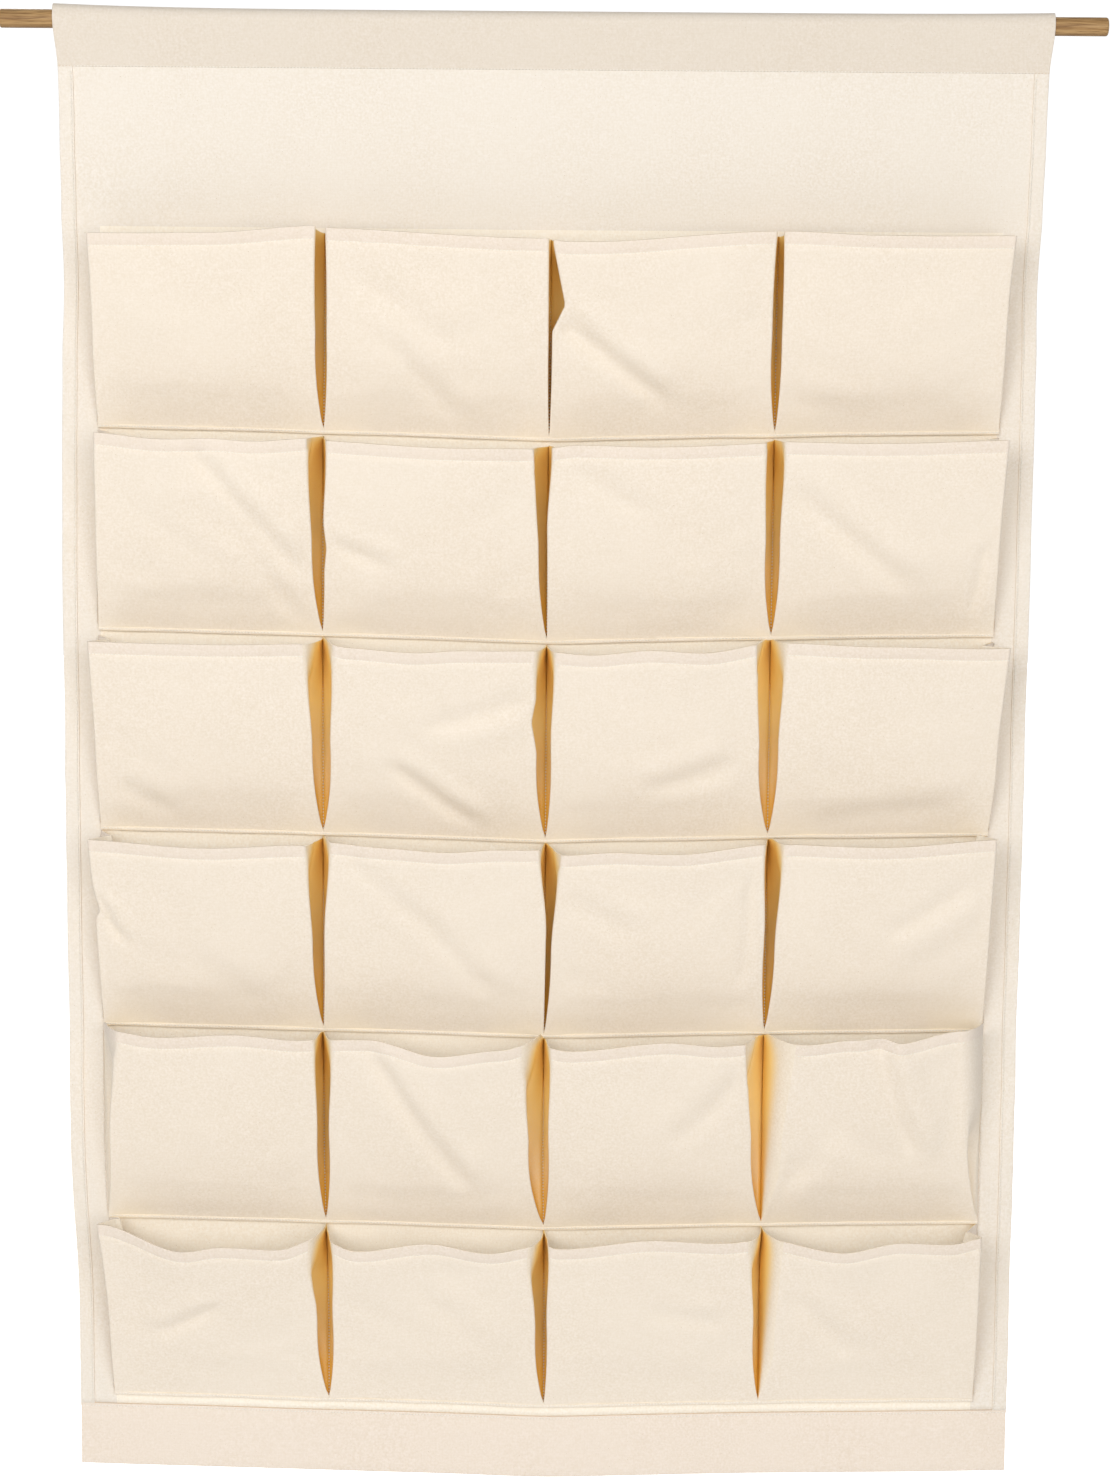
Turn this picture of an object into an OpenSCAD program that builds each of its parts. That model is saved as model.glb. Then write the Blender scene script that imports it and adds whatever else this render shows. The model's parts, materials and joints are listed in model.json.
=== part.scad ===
// Hanging shoe organizer: a canvas panel on a wooden rod, with rows of pleated pockets.
// The origin is the centre of the rod. X runs along the rod, +Z is up and the pockets face -Y.

/* [Rod] */
// Diameter of the wooden rod
rod_d = 18; // [12:1:24]
// Bare rod that shows at each side of the cloth
rod_end = 57; // [20:1:100]
// Rounding of the rod's end edges
rod_edge = 1.5; // [0.5:0.5:3]
// Space between the rod and the cloth loop around it
rod_play = 1.6; // [1:0.1:4]

/* [Cloth] */
// Thickness of one layer of canvas
canvas_t = 1; // [0.8:0.1:1.2]
// From the rod's centre down to the seam that closes the loop
loop_drop = 45; // [30:1:70]
// How much wider the loop is than the panel, at each side
loop_flare = 3; // [0:1:8]
// Bare panel at each side of the pockets
side_margin = 35; // [20:1:60]
// Width of the hem at each side of the panel
side_hem = 14; // [8:1:18]
// From the lowest pocket seam down to the seam of the bottom hem
foot_gap = 16; // [8:1:40]
// Height of the bottom hem
foot_hem = 61; // [20:1:100]
// Thickness of the sewing thread
thread_d = 0.6; // [0.4:0.1:0.8]

/* [Pockets] */
// Number of rows
rows = 6; // [2:1:6]
// Number of pockets in a row
columns = 4; // [1:1:4]
// Width of one pocket
column_pitch = 220; // [160:5:240]
// From one row's base seam to the next
row_pitch = 200; // [170:5:220]
// The same for the last row, which is a little shorter
last_pitch = 188; // [165:1:220]
// From the rod's centre down to the first base seam
first_seam = 400; // [330:5:450]
// Length of a pocket front, as a share of its row's pitch
front_share = 1.015; // [0.9:0.005:1.02]
// How far a pocket front leans out when it hangs empty
rest_lean = 16.5; // [12:0.5:20]
// Space between the fronts of two neighbouring pockets
front_gap = 10; // [6:1:20]
// Height of the hem along a pocket's mouth
mouth_hem = 12; // [8:1:20]
// Depth of each of the two layers of a side pleat
pleat_depth = 40; // [34:1:50]

/* [Hidden] */
$fn = 48;
zone_w = columns * column_pitch;
panel_w = zone_w + 2 * side_margin;
loop_w = panel_w + 2 * loop_flare;
rod_len = loop_w + 2 * rod_end;
loop_r = rod_d / 2 + rod_play;
last_seam = first_seam + (rows - 2) * row_pitch + last_pitch;
foot_seam = last_seam + foot_gap;
foot_edge = foot_seam + foot_hem;

panel_front = -canvas_t / 2;               // y of the panel's front face
fold_y = panel_front - canvas_t;           // y of every base seam: between two layers of canvas
seam_r = 0.5;                              // radius of the seam thread that a joint turns about
seam_gap = 0.3;                            // space between a seam thread and the cloth beside it
cloth_gap = 0.4;                           // space between two pieces of cloth that can move
band_h = 4.5;                              // height of the folded edge below a base seam
pleat_t = 0.8;                             // thickness of a pleat's layer, pressed a little flatter
pleat_foot = 16;                           // height above the base seam where a pleat starts to open
pleat_steps = 4;

front_w = column_pitch - front_gap;
sin_lean = sin(rest_lean);
cos_lean = cos(rest_lean);

function front_name(r, c) = str("pocket_front_r", r, "c", c);
function pleat_name(r, c) = str("pocket_pleats_r", r, "c", c);
function band_name(r) = str("strip_base_r", r);

function seam_z(r) = r == rows ? -last_seam : -first_seam - (r - 1) * row_pitch;
function pitch(r) = r == rows ? last_pitch : row_pitch;
function front_len(r) = pitch(r) * front_share;
function column_x(c) = (c - (columns + 1) / 2) * column_pitch;
function line_x(i) = (i - columns / 2) * column_pitch;

// A length of seam thread along X.
module seam_thread(length, y, z) {
    translate([0, y, z]) rotate([0, 90, 0]) cylinder(r = seam_r, h = length, center = true);
}

// The outline of cloth drawn round the rod and down to a seam, seen along X.
module loop_outline(r, drop, half_end) {
    phi = acos(r / drop);
    circle(r);
    polygon([
        [r * sin(phi), -r * cos(phi)],
        [half_end, -drop],
        [-half_end, -drop],
        [-r * sin(phi), -r * cos(phi)]
    ]);
}

module dowel() {
    color("peru") rotate([0, 90, 0]) {
        cylinder(d = rod_d, h = rod_len - 2 * rod_edge, center = true);
        for (side = [0, 1]) mirror([0, 0, side])
            translate([0, 0, rod_len / 2 - rod_edge])
                cylinder(r1 = rod_d / 2, r2 = rod_d / 2 - rod_edge, h = rod_edge);
    }
}

// The top of the panel, turned over the rod and sewn down. It is open at both ends.
module rod_sleeve() {
    end_drop = loop_drop - seam_r - seam_gap;
    color("antiquewhite") rotate([90, 0, 90]) linear_extrude(loop_w, center = true)
        difference() {
            loop_outline(loop_r + canvas_t, end_drop, canvas_t);
            loop_outline(loop_r, end_drop - 4 * canvas_t, 0.01);
        }
}

module sleeve_stitching() {
    color("ivory") seam_thread(loop_w - 2, 0, -loop_drop);
}

// One sheet of canvas with a doubled hem down each side and a hollow hem along the foot.
module back_panel() {
    top = -loop_drop - seam_r - seam_gap;
    hem_top = top - 3 * canvas_t;
    hem_slot = 0.6;
    foot_t = 2 * canvas_t + hem_slot;
    color("linen") {
        translate([-panel_w / 2, panel_front, -foot_edge])
            cube([panel_w, canvas_t, foot_edge + top]);
        for (side = [0, 1]) mirror([side, 0, 0])
            translate([panel_w / 2 - side_hem, panel_front - canvas_t, -foot_edge + foot_hem])
                cube([side_hem, canvas_t, foot_edge - foot_hem + hem_top]);
        difference() {
            translate([-panel_w / 2, -panel_front - foot_t, -foot_edge])
                cube([panel_w, foot_t, foot_hem]);
            translate([-panel_w / 2 - 1, -panel_front - canvas_t - hem_slot, -foot_edge + canvas_t])
                cube([panel_w + 2, hem_slot, foot_hem - 4 * canvas_t]);
        }
    }
}

// Thread along the inner edge of each side hem and along the top of the bottom hem.
module hem_stitching() {
    side_x = panel_w / 2 - side_hem + 2;
    side_top = -loop_drop - 8;
    foot_y = -panel_front - 2 * canvas_t - 0.6;
    color("ivory") {
        for (side = [0, 1]) mirror([side, 0, 0])
            translate([side_x, panel_front - canvas_t - thread_d / 2, -foot_seam])
                cube([thread_d, thread_d / 2, foot_seam + side_top]);
        translate([-panel_w / 2 + side_hem, foot_y - thread_d / 2, -foot_seam - 3])
            cube([panel_w - 2 * side_hem, thread_d / 2, thread_d]);
    }
}

// The base seams that the fronts hang out from, and the upright seams between the pockets.
module pocket_stitching() {
    color("ivory") for (r = [1:rows]) {
        seam_thread(zone_w, fold_y, seam_z(r));
        for (i = [0:columns])
            translate([line_x(i) - thread_d / 2, panel_front - thread_d / 2, seam_z(r) + 2])
                cube([thread_d, thread_d / 2, front_len(r) * cos_lean - band_h]);
    }
}

// The lower edge of one row's strip: folded under, and sewn flat to the panel.
module strip_base(r) {
    color("wheat") translate([-zone_w / 2, panel_front - 2 * canvas_t, seam_z(r) - seam_r - 0.2 - band_h])
        cube([zone_w, 2 * canvas_t, band_h]);
}

// One pocket's share of the strip, leaning out from its base seam, with its mouth turned in.
module pocket_front(r, c) {
    start = seam_r + seam_gap;
    color("linen") translate([column_x(c), fold_y, seam_z(r)]) rotate([rest_lean, 0, 0]) {
        translate([-front_w / 2, -canvas_t / 2, start])
            cube([front_w, canvas_t, front_len(r) - start]);
        translate([-front_w / 2, canvas_t / 2, front_len(r) - mouth_hem])
            cube([front_w, canvas_t, mouth_hem]);
    }
}

// The middle line of a folded pleat at height h: from the panel in to the crease and out to the front.
function pleat_line(h) =
    let (
        back_y = panel_front - cloth_gap - pleat_t / 2,
        front_y = fold_y - h * sin_lean / cos_lean + 1.5 * canvas_t / cos_lean
            + cloth_gap + pleat_t / 2,
        mid_y = (back_y + front_y) / 2,
        fold_half = pleat_t / 2 + 0.15,
        reach = sqrt(pow(pleat_depth, 2) - pow((back_y - front_y) / 2, 2)),
        edge_x = (thread_d + pleat_t) / 2 + 0.2
    )
    [
        [edge_x, back_y],
        [edge_x + reach, mid_y + fold_half],
        [edge_x + reach, mid_y - fold_half],
        [front_gap / 2 + pleat_t, front_y]
    ];

function unit(v) = v / norm(v);
function side_of(a, b) = let (d = unit(b - a)) [d[1], -d[0]];

// One side of an open line, a distance away from it, with mitred corners.
function beside(line, distance) =
    let (last = len(line) - 1)
    [
        for (i = [0:last])
            let (
                before = side_of(line[max(i - 1, 0)], line[max(i, 1)]),
                after = side_of(line[min(i, last - 1)], line[min(i + 1, last)])
            )
            line[i] + distance * (before + after) / (1 + before * after)
    ];

function reversed(list) = [for (i = [len(list) - 1:-1:0]) list[i]];

// The closed outline of a pleat at height h.
function pleat_outline(h) =
    let (line = pleat_line(h))
    concat(beside(line, pleat_t / 2), reversed(beside(line, -pleat_t / 2)));

// One pleat, opening from its foot up to the mouth. The column line is at x = 0, and side is 1 for
// a pleat that folds towards +X and -1 for its mirror image, whose faces run the other way round.
module pleat(height, side) {
    levels = [for (i = [0:pleat_steps]) pleat_foot + (height - pleat_foot) * i / pleat_steps];
    outlines = [for (h = levels) pleat_outline(h)];
    n = len(outlines[0]);
    points = [for (i = [0:pleat_steps]) for (p = outlines[i]) [side * p[0], p[1], levels[i]]];
    // Each stretch of wall is cut along the same diagonal on both faces, so the faces stay parallel.
    walls = [
        for (i = [0:pleat_steps - 1], j = [0:n - 1])
            let (a = i * n + j, b = i * n + (j + 1) % n)
            each j < n / 2
                ? [[a, a + n, b], [b, a + n, b + n]]
                : [[a, a + n, b + n], [a, b + n, b]]
    ];
    // The ends are cut into one flat piece for each straight stretch, because the outline is hollow.
    caps = [
        for (j = [0:n / 2 - 2])
            let (quad = [j, j + 1, n - 2 - j, n - 1 - j])
            each [quad, [for (q = reversed(quad)) pleat_steps * n + q]]
    ];
    faces = concat(walls, caps);
    polyhedron(points, side > 0 ? faces : [for (f = faces) reversed(f)], convexity = 4);
}

module pocket_pleats(r, c) {
    height = min(front_len(r) * cos_lean, pitch(r) - band_h - seam_r) - 1.5;
    color("burlywood") translate([column_x(c), 0, seam_z(r)])
        for (side = [-1, 1])
            translate([-side * column_pitch / 2, 0, 0]) pleat(height, side);
}

dowel();
rod_sleeve();
sleeve_stitching();
back_panel();
hem_stitching();
pocket_stitching();
for (r = [1:rows]) {
    strip_base(r);
    for (c = [1:columns]) {
        pocket_front(r, c);
        pocket_pleats(r, c);
    }
}
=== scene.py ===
"""Looks of the canvas shoe organizer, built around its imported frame.

Everything is in metres in the frame's own axes: X along the rod, +Z up, and the pockets face -Y.
Cloth is laid out as grids of points on a flat sewing pattern. hang() moves them to where the cloth
really hangs, Shape.thick() turns them into closed shells, and seams are rows of small stitches.
Each pocket is one sheet: two folded pleats, the front between them, and the hem of its mouth.
"""
import json
import math

import bpy
import numpy as np
from mathutils import Matrix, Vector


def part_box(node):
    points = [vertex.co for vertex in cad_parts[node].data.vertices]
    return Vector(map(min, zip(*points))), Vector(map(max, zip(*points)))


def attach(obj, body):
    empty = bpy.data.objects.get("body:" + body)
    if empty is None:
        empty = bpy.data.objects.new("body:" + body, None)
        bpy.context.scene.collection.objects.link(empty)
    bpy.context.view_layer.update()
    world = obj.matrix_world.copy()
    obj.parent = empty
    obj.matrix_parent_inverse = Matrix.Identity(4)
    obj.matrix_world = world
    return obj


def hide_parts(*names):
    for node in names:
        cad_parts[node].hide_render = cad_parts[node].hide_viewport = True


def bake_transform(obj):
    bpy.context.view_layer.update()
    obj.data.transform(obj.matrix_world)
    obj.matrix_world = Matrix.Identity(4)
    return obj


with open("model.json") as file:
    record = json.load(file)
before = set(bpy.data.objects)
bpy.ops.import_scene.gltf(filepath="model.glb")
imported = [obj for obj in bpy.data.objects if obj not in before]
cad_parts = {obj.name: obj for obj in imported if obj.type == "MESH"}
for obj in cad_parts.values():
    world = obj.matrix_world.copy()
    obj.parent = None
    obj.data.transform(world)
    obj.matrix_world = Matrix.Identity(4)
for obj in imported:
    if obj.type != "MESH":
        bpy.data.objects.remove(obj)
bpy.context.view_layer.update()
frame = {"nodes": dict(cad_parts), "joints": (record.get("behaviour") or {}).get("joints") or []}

# ---------------------------------------------------------------- sizes, from the frame
MM = 0.001
joints = {joint["name"]: joint for joint in frame["joints"]}
rod_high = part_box("dowel")[1]
sleeve_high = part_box("rod_sleeve")[1]
base_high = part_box("strip_base_r1")[1]
panel_low, panel_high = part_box("back_panel")

ROD_RADIUS = rod_high.z
ROD_HALF = rod_high.x
LOOP_HALF = sleeve_high.x
LOOP_SEAM = joints["panel_swing"]["pos_m"][2]
PANEL_HALF = panel_high.x
PANEL_BACK = panel_high.y
FOOT_EDGE = panel_low.z
ZONE_HALF = base_high.x               # half the width of the strips of pockets

CLOTH = 0.9 * MM                      # thickness of one layer of canvas
PANEL_FRONT = PANEL_BACK - 1.0 * MM
SIDE_HEM = 14 * MM
FOOT_HEM = 61 * MM
FOOT_SEAM = FOOT_EDGE + FOOT_HEM
MOUTH_HEM = 12 * MM
BASE_BAND = 4 * MM                    # height of the folded lower edge of a strip
BAND_PROUD = 3.9 * MM                 # how far that edge stands off the panel
PLEAT = 40 * MM                       # how far a pleat reaches in behind its front

ROWS = sum(name.startswith("strip_base_r") for name in frame["nodes"])
COLUMNS = sum(name.startswith("pocket_front_r1c") for name in frame["nodes"])


class Place:
    """Where one pocket sits, read from its joint and from its front's box."""

    def __init__(self, row, column):
        self.key = f"r{row}c{column}"
        self.row = row
        self.column = column
        self.body = f"pocket_{self.key}"
        low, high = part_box(f"pocket_front_{self.key}")
        pivot = joints[f"pocket_{self.key}_open"]["pos_m"]
        self.x = pivot[0]
        self.seam = pivot[2]
        self.height = high.z - self.seam
        self.depth = -low.y
        self.half = ZONE_HALF / COLUMNS


places = [Place(row, column) for row in range(1, ROWS + 1) for column in range(1, COLUMNS + 1)]
column_lines = [(i / COLUMNS * 2 - 1) * ZONE_HALF for i in range(COLUMNS + 1)]


# ---------------------------------------------------------------- how the cloth hangs
PLAIN_TOP = 160 * MM                  # the cloth above this depth hangs straight
BOW = 10 * MM                         # how much higher the seams hang at the sides than in the middle
SPREAD = 5 * MM                       # how far each end of the loop is stretched outwards
LEAN = 7 * MM                         # how far the left half leans outwards beside the middle rows


def smooth(x):
    """0 below 0, 1 above 1, and a smooth step between."""
    x = np.clip(x, 0.0, 1.0)
    return x * x * (3 - 2 * x)


def ripples(x, z, size, seed, count=7):
    """Smooth noise from about -1 to 1 whose lumps are about size across."""
    random = np.random.default_rng(seed)
    total = np.zeros(np.broadcast(x, z).shape)
    for _ in range(count):
        angle = random.uniform(0, math.pi)
        wave = 2 * math.pi / (size * random.uniform(0.8, 2.2))
        phase = random.uniform(0, 2 * math.pi)
        total = total + np.sin((x * math.cos(angle) + z * math.sin(angle)) * wave + phase)
    return total / count * 1.6


def bow(x, z):
    """How far the cloth hangs above its place on the pattern. Seams climb quickly beside the middle."""
    def climb(share):
        return (share + 0.01) ** 0.3
    share = (np.asarray(x) / ZONE_HALF) ** 2
    rise = (climb(share) - climb(0)) / (climb(1) - climb(0))
    return BOW * rise * smooth((-PLAIN_TOP - np.asarray(z)) / 0.24)


def sway(x, z):
    """How far the hanging panel waves out of its plane. Its top is level with the loop's front."""
    loose = smooth((LOOP_SEAM - 0.02 - z) / 0.25)
    level = -0.6 * MM * smooth((z - LOOP_SEAM) / (12 * MM) + 1)
    waves = 1.6 * MM * ripples(x, z * 0.5, 0.36, seed=11) + 0.7 * MM * ripples(x, z, 0.16, seed=12)
    return level + loose * waves


def drift(x, z):
    """How far the cloth hangs to one side of its place on the pattern: its top is stretched along
    the rod, and its left half leans outwards beside the middle rows."""
    share = np.asarray(x) / PANEL_HALF
    spread = SPREAD * share * smooth((z + 0.30) / 0.30)
    beside_rows = smooth((-0.05 - z) / 0.55) * smooth((z + 1.32) / 0.22)
    return spread - LEAN * np.clip(0.35 - 0.65 * share, 0, 1) * beside_rows


def hang(x, y, z):
    """A point of the flat pattern, where it really hangs. The side edges are a little wavy too."""
    x, y, z = np.broadcast_arrays(x, y, z)
    wavy = 1.2 * MM * ripples(x * 0, z, 0.11, seed=31) * (np.abs(x) / PANEL_HALF) ** 8
    hung_x = x - np.sign(x) * np.abs(wavy) + drift(x, z)
    return np.stack([hung_x, y + sway(x, z), z + bow(x, z)], axis=-1)


# ---------------------------------------------------------------- grids and meshes
STITCH_PITCH = 3.2 * MM
STITCH_LENGTH = 2.3 * MM
STITCH_WIDTH = 0.9 * MM
STITCH_RISE = 0.42                    # half the height of a stitch, as a share of its width
STITCH_WAIST = 0.26                   # where its two rings of points are, as a share of its length
STITCH_RING = [(1, 0), (0, 1), (-1, 0), (0, -1)]


def spaced(start, end, step):
    """Even values from start to end, about step apart."""
    return np.linspace(start, end, max(2, round(abs(end - start) / step) + 1))


def joined(*parts):
    """Sorted values from all the parts, without those closer than 0.0001 to the one before."""
    values = np.sort(np.concatenate([np.atleast_1d(part) for part in parts]))
    keep = np.concatenate([[True], np.diff(values) > 0.0001])
    return values[keep]


def unit(vectors):
    """The same vectors, each of length 1."""
    return vectors / np.maximum(np.linalg.norm(vectors, axis=-1, keepdims=True), 1e-12)


def normals_of(grid):
    """Unit normal at each point of a grid of points."""
    return unit(np.cross(np.gradient(grid, axis=1), np.gradient(grid, axis=0)))


def lengths_along(grid, axis):
    """How far along the cloth each point is from the first one on its row or column."""
    start = grid[:, :1] if axis == 1 else grid[:1]
    return np.linalg.norm(np.diff(grid, axis=axis, prepend=start), axis=2).cumsum(axis=axis)


def grid_faces(rows, columns, offset=0, flip=False):
    """Quads of a rows x columns grid of points."""
    index = np.arange(rows * columns).reshape(rows, columns) + offset
    quads = np.stack([index[:-1, :-1], index[:-1, 1:], index[1:, 1:], index[1:, :-1]], axis=-1)
    quads = quads.reshape(-1, 4)
    return quads[:, ::-1] if flip else quads


def rim_faces(rows, columns, inner):
    """Quads that join the edges of a grid to those of the same grid numbered from inner."""
    index = np.arange(rows * columns).reshape(rows, columns)
    loop = np.concatenate([index[0, :-1], index[:-1, -1], index[-1, :0:-1], index[:0:-1, 0]])
    after = np.roll(loop, -1)
    return np.stack([after, loop, loop + inner, after + inner], axis=-1)


def tube_faces(rings, columns):
    """Quads round a tube made of closed rings of points."""
    index = np.arange(rings * columns).reshape(rings, columns)
    after = np.roll(index, -1, axis=1)
    return np.stack([index[:-1], after[:-1], after[1:], index[1:]], axis=-1).reshape(-1, 4)


def stitch_faces():
    """Faces of one stitch: a point at each end and two rings between them."""
    sides = len(STITCH_RING)
    last = 2 * sides + 1
    faces = []
    for k in range(sides):
        after = (k + 1) % sides
        near, near_after = 1 + k, 1 + after
        far, far_after = near + sides, near_after + sides
        faces += [[0, near_after, near], [near, near_after, far_after, far], [last, far, far_after]]
    return faces


class Shape:
    """Gathers grids and small solids into one mesh. Slots are material numbers, one for each face.
    The cloth attribute holds each point's place on the unrolled cloth, for the weave."""

    def __init__(self):
        self.points, self.faces, self.slots, self.cloth = [], [], [], []
        self.count = 0

    def add(self, points, faces, slot=0, cloth=None):
        points = np.asarray(points, float).reshape(-1, 3)
        faces = faces.tolist() if isinstance(faces, np.ndarray) else faces
        self.points.append(points)
        self.faces.extend([corner + self.count for corner in face] for face in faces)
        self.slots.extend([slot] * len(faces) if np.isscalar(slot) else list(slot))
        self.cloth.append(np.zeros((len(points), 3)) if cloth is None else cloth)
        self.count += len(points)

    def cap(self, corners, slot=0):
        """Adds one flat face over points that are already there."""
        self.faces.append([int(corner) for corner in corners])
        self.slots.append(slot)

    def fan(self, middle, ring, slot=0):
        """Adds a middle point and the triangles from it to a ring of points already there."""
        for corner, after in zip(ring, np.roll(ring, -1)):
            self.cap([self.count, after, corner], slot)
        self.add([middle], [])

    def thick(self, grid, outer=CLOTH / 2, inner=CLOTH / 2, slot=0, back_slot=None):
        """Adds a closed shell round a grid. Outer is the side that the grid's normals point to.
        Slot is one number, or one for each cell of the grid."""
        rows, columns = grid.shape[:2]
        normal = normals_of(grid)
        outer = np.broadcast_to(np.asarray(outer, float), (rows, columns))[..., None]
        inner = np.broadcast_to(np.asarray(inner, float), (rows, columns))[..., None]
        front = grid + normal * outer
        back = grid - normal * inner
        half = rows * columns
        faces = np.concatenate([
            grid_faces(rows, columns),
            grid_faces(rows, columns, half, flip=True),
            rim_faces(rows, columns, half),
        ])
        if not np.isscalar(slot):
            cells = np.asarray(slot).reshape(-1)
            rim = [cells[0]] * (2 * (rows + columns - 2))
            behind = cells if back_slot is None else np.full_like(cells, back_slot)
            slot = np.concatenate([cells, behind, rim])
        across, up = lengths_along(grid, axis=1), lengths_along(grid, axis=0)
        cloth = np.stack([across, up, np.zeros_like(up)], axis=-1).reshape(-1, 3)
        both = np.concatenate([front.reshape(-1, 3), back.reshape(-1, 3)])
        self.add(both, faces, slot, np.concatenate([cloth, cloth]))
        return front, normal

    def stitches(self, path, normal, slot=0):
        """Adds a row of stitches, like grains of rice, half sunk along a path with given normals."""
        steps = np.linalg.norm(np.diff(path, axis=0), axis=1)
        length = np.concatenate([[0], steps.cumsum()])

        def at(distance, values):
            return np.stack([np.interp(distance, length, values[:, k]) for k in range(3)], axis=1)

        distances = np.arange(STITCH_PITCH / 2, length[-1], STITCH_PITCH)
        middle = at(distances, path)
        lift = unit(at(distances, normal))
        ahead = at(distances + STITCH_LENGTH / 2, path)
        behind = at(distances - STITCH_LENGTH / 2, path)
        along = unit(ahead - behind)
        side = np.cross(lift, along)
        corners = [middle - along * STITCH_LENGTH / 2]
        for end in (-STITCH_WAIST, STITCH_WAIST):
            for a, b in STITCH_RING:
                reach = side * a * STITCH_WIDTH / 2 + lift * b * STITCH_WIDTH * STITCH_RISE
                corners.append(middle + along * STITCH_LENGTH * end + reach)
        corners.append(middle + along * STITCH_LENGTH / 2)
        for grain in np.stack(corners, axis=1):
            self.add(grain, stitch_faces(), slot, grain)

    def build(self, name, *materials):
        """Makes the object, with its materials in the order of the slots."""
        mesh = bpy.data.meshes.new(name)
        mesh.from_pydata(np.concatenate(self.points).tolist(), [], self.faces)
        for material in materials:
            mesh.materials.append(material)
        mesh.polygons.foreach_set("material_index", np.array(self.slots, np.int32))
        mesh.polygons.foreach_set("use_smooth", np.ones(len(self.faces), bool))
        cloth = mesh.attributes.new("cloth", "FLOAT_VECTOR", "POINT")
        cloth.data.foreach_set("vector", np.concatenate(self.cloth).astype(np.float32).ravel())
        mesh.update()
        thing = bpy.data.objects.new(name, mesh)
        bpy.context.scene.collection.objects.link(thing)
        return thing


# ---------------------------------------------------------------- materials
class Nodes:
    """Short names for building a node material. A value is a number, a colour or another output."""

    def __init__(self, name):
        self.material = bpy.data.materials.new(name)
        self.material.use_nodes = True
        self.tree = self.material.node_tree
        self.shader = next(n for n in self.tree.nodes if n.type == "BSDF_PRINCIPLED")

    def link(self, value, socket):
        if isinstance(value, bpy.types.NodeSocket):
            self.tree.links.new(value, socket)
        elif isinstance(value, tuple) and len(value) == 3:
            socket.default_value = (*value, 1.0) if socket.type == "RGBA" else value
        else:
            socket.default_value = value

    def math(self, operation, *values):
        node = self.tree.nodes.new("ShaderNodeMath")
        node.operation = operation
        for value, socket in zip(values, node.inputs):
            self.link(value, socket)
        return node.outputs[0]

    def mix(self, factor, a, b):
        """Mixes colour a towards colour b."""
        node = self.tree.nodes.new("ShaderNodeMix")
        node.data_type = "RGBA"
        self.link(factor, node.inputs[0])
        self.link(a, node.inputs[6])
        self.link(b, node.inputs[7])
        return node.outputs[2]

    def noise(self, vector, scale, detail):
        node = self.tree.nodes.new("ShaderNodeTexNoise")
        self.link(vector, node.inputs["Vector"])
        node.inputs["Scale"].default_value = scale
        node.inputs["Detail"].default_value = detail
        return node.outputs["Fac"]

    def streaks(self, vector, scales, detail):
        """Noise with its own scale along each axis."""
        return self.noise(self.stretch(vector, scales), 1.0, detail)

    def ramp(self, value, low, high):
        """Maps low..high to 0..1."""
        node = self.tree.nodes.new("ShaderNodeMapRange")
        self.link(value, node.inputs["Value"])
        node.inputs["From Min"].default_value = low
        node.inputs["From Max"].default_value = high
        return node.outputs["Result"]

    def stretch(self, vector, scale):
        node = self.tree.nodes.new("ShaderNodeMapping")
        self.link(vector, node.inputs["Vector"])
        node.inputs["Scale"].default_value = scale
        return node.outputs["Vector"]

    def split(self, vector):
        node = self.tree.nodes.new("ShaderNodeSeparateXYZ")
        self.link(vector, node.inputs[0])
        return node.outputs["X"], node.outputs["Y"]

    def place(self):
        """Where a point is on the object, in metres."""
        return self.tree.nodes.new("ShaderNodeTexCoord").outputs["Object"]

    def cloth_place(self):
        """Where a point is on the unrolled cloth, in metres."""
        node = self.tree.nodes.new("ShaderNodeAttribute")
        node.attribute_name = "cloth"
        return node.outputs["Vector"]

    def openness(self, reach):
        """1 in the open, and less where other cloth is nearer than reach."""
        node = self.tree.nodes.new("ShaderNodeAmbientOcclusion")
        node.samples = 8
        node.inputs["Distance"].default_value = reach
        return node.outputs["AO"]

    def bump(self, height, strength, distance):
        node = self.tree.nodes.new("ShaderNodeBump")
        node.inputs["Strength"].default_value = strength
        node.inputs["Distance"].default_value = distance
        self.link(height, node.inputs["Height"])
        self.link(node.outputs["Normal"], self.shader.inputs["Normal"])

    def finish(self, colour, roughness, sheen=0.0):
        self.link(colour, self.shader.inputs["Base Color"])
        self.link(roughness, self.shader.inputs["Roughness"])
        self.shader.inputs["Specular IOR Level"].default_value = 0.25
        self.shader.inputs["Sheen Weight"].default_value = sheen
        return self.material


THREAD_PERIOD = 1.1 * MM              # one thread over and one under
SEED_FLECK = (0.42, 0.26, 0.11)
# Painted shade and bounce light: the tint that cloth near other cloth turns towards, and the painted dark
# golden shade of the tightest gaps.
PAINTED_WARM_SHADE = (0.98, 0.70, 0.36)
PAINTED_GOLD_SHADE = (0.88, 0.43, 0.04)


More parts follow.
